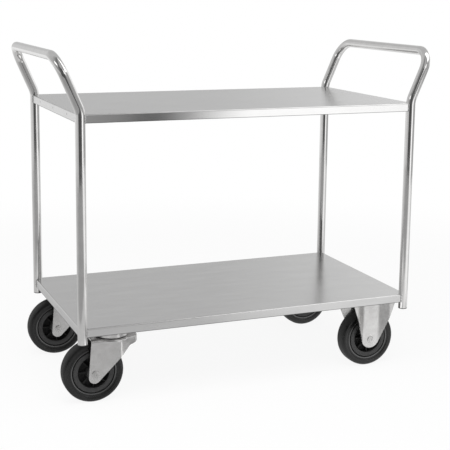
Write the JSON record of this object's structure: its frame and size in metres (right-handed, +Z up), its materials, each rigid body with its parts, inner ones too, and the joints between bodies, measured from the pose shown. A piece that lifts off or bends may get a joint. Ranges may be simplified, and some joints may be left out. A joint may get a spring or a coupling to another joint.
{
  "type": "shelf trolley",
  "caption": "Shelf trolley: an upper and a lower sheet shelf between bent-tube end frames that form push handles, swivel casters at one end and fixed casters at the other",
  "frame": {"origin": "on the floor, under the middle of the trolley", "axes": "+X along the trolley from the swivel casters to the fixed casters, +Y across it towards its back, +Z up"},
  "size_m": [1.066, 0.53, 0.9],
  "materials": {
    "tube_zinc": "bright zinc plated, glossy",
    "shelf_zinc": "zinc plated, satin",
    "channel_zinc": "zinc plated, satin",
    "pressing_zinc": "bright zinc plated pressing",
    "plate_zinc": "zinc plated plate",
    "fastener_zinc": "zinc plated",
    "bearing_steel": "ground steel, greased",
    "rim_plastic": "moulded plastic, fine grain",
    "tyre_rubber": "black rubber, matt",
    "plug_plastic": "moulded plastic",
    "washer_plastic": "moulded plastic, natural"
  },
  "bodies": {
    "trolley": {"back_left_bearing_cup": "pressing_zinc", "back_left_king_pin": "fastener_zinc", "back_left_post_plug": "plug_plastic", "back_left_thrust_washer": "washer_plastic", "back_left_top_plate": "plate_zinc", "back_right_axle": "fastener_zinc", "back_right_axle_sleeve": "bearing_steel", "back_right_bracket": "pressing_zinc", "back_right_post_plug": "plug_plastic", "caster_bolts": "fastener_zinc", "caster_nuts": "fastener_zinc", "front_left_bearing_cup": "pressing_zinc", "front_left_king_pin": "fastener_zinc", "front_left_post_plug": "plug_plastic", "front_left_thrust_washer": "washer_plastic", "front_left_top_plate": "plate_zinc", "front_right_axle": "fastener_zinc", "front_right_axle_sleeve": "bearing_steel", "front_right_bracket": "pressing_zinc", "front_right_post_plug": "plug_plastic", "left_caster_channel": "channel_zinc", "left_end_frame": "tube_zinc", "lower_middle_stiffener": "channel_zinc", "lower_shelf": "shelf_zinc", "right_caster_channel": "channel_zinc", "right_end_frame": "tube_zinc", "upper_back_stiffener": "channel_zinc", "upper_front_stiffener": "channel_zinc", "upper_middle_stiffener": "channel_zinc", "upper_shelf": "shelf_zinc"},
    "front_left_fork": {"front_left_fork": "pressing_zinc", "front_left_axle": "fastener_zinc", "front_left_axle_sleeve": "bearing_steel", "front_left_swivel_balls": "bearing_steel"},
    "back_left_fork": {"back_left_fork": "pressing_zinc", "back_left_axle": "fastener_zinc", "back_left_axle_sleeve": "bearing_steel", "back_left_swivel_balls": "bearing_steel"},
    "front_left_wheel": {"front_left_wheel_rim": "rim_plastic", "front_left_tyre": "tyre_rubber", "front_left_roller_bearing": "bearing_steel"},
    "back_left_wheel": {"back_left_wheel_rim": "rim_plastic", "back_left_tyre": "tyre_rubber", "back_left_roller_bearing": "bearing_steel"},
    "front_right_wheel": {"front_right_wheel_rim": "rim_plastic", "front_right_tyre": "tyre_rubber", "front_right_roller_bearing": "bearing_steel"},
    "back_right_wheel": {"back_right_wheel_rim": "rim_plastic", "back_right_tyre": "tyre_rubber", "back_right_roller_bearing": "bearing_steel"}
  },
  "joints": [
    {"name": "front_left_swivel", "type": "hinge", "parent": "trolley", "child": "front_left_fork", "pos_m": [-0.373, -0.2, 0.18], "axis": [0, 0, 1], "continuous": true},
    {"name": "front_left_roll", "type": "hinge", "parent": "front_left_fork", "child": "front_left_wheel", "pos_m": [-0.425, -0.2, 0.08], "axis": [0, 1, 0], "continuous": true},
    {"name": "back_left_swivel", "type": "hinge", "parent": "trolley", "child": "back_left_fork", "pos_m": [-0.373, 0.2, 0.18], "axis": [0, 0, 1], "continuous": true},
    {"name": "back_left_roll", "type": "hinge", "parent": "back_left_fork", "child": "back_left_wheel", "pos_m": [-0.425, 0.2, 0.08], "axis": [0, 1, 0], "continuous": true},
    {"name": "front_right_roll", "type": "hinge", "parent": "trolley", "child": "front_right_wheel", "pos_m": [0.373, -0.2, 0.08], "axis": [0, 1, 0], "continuous": true},
    {"name": "back_right_roll", "type": "hinge", "parent": "trolley", "child": "back_right_wheel", "pos_m": [0.373, 0.2, 0.08], "axis": [0, 1, 0], "continuous": true}
  ]
}
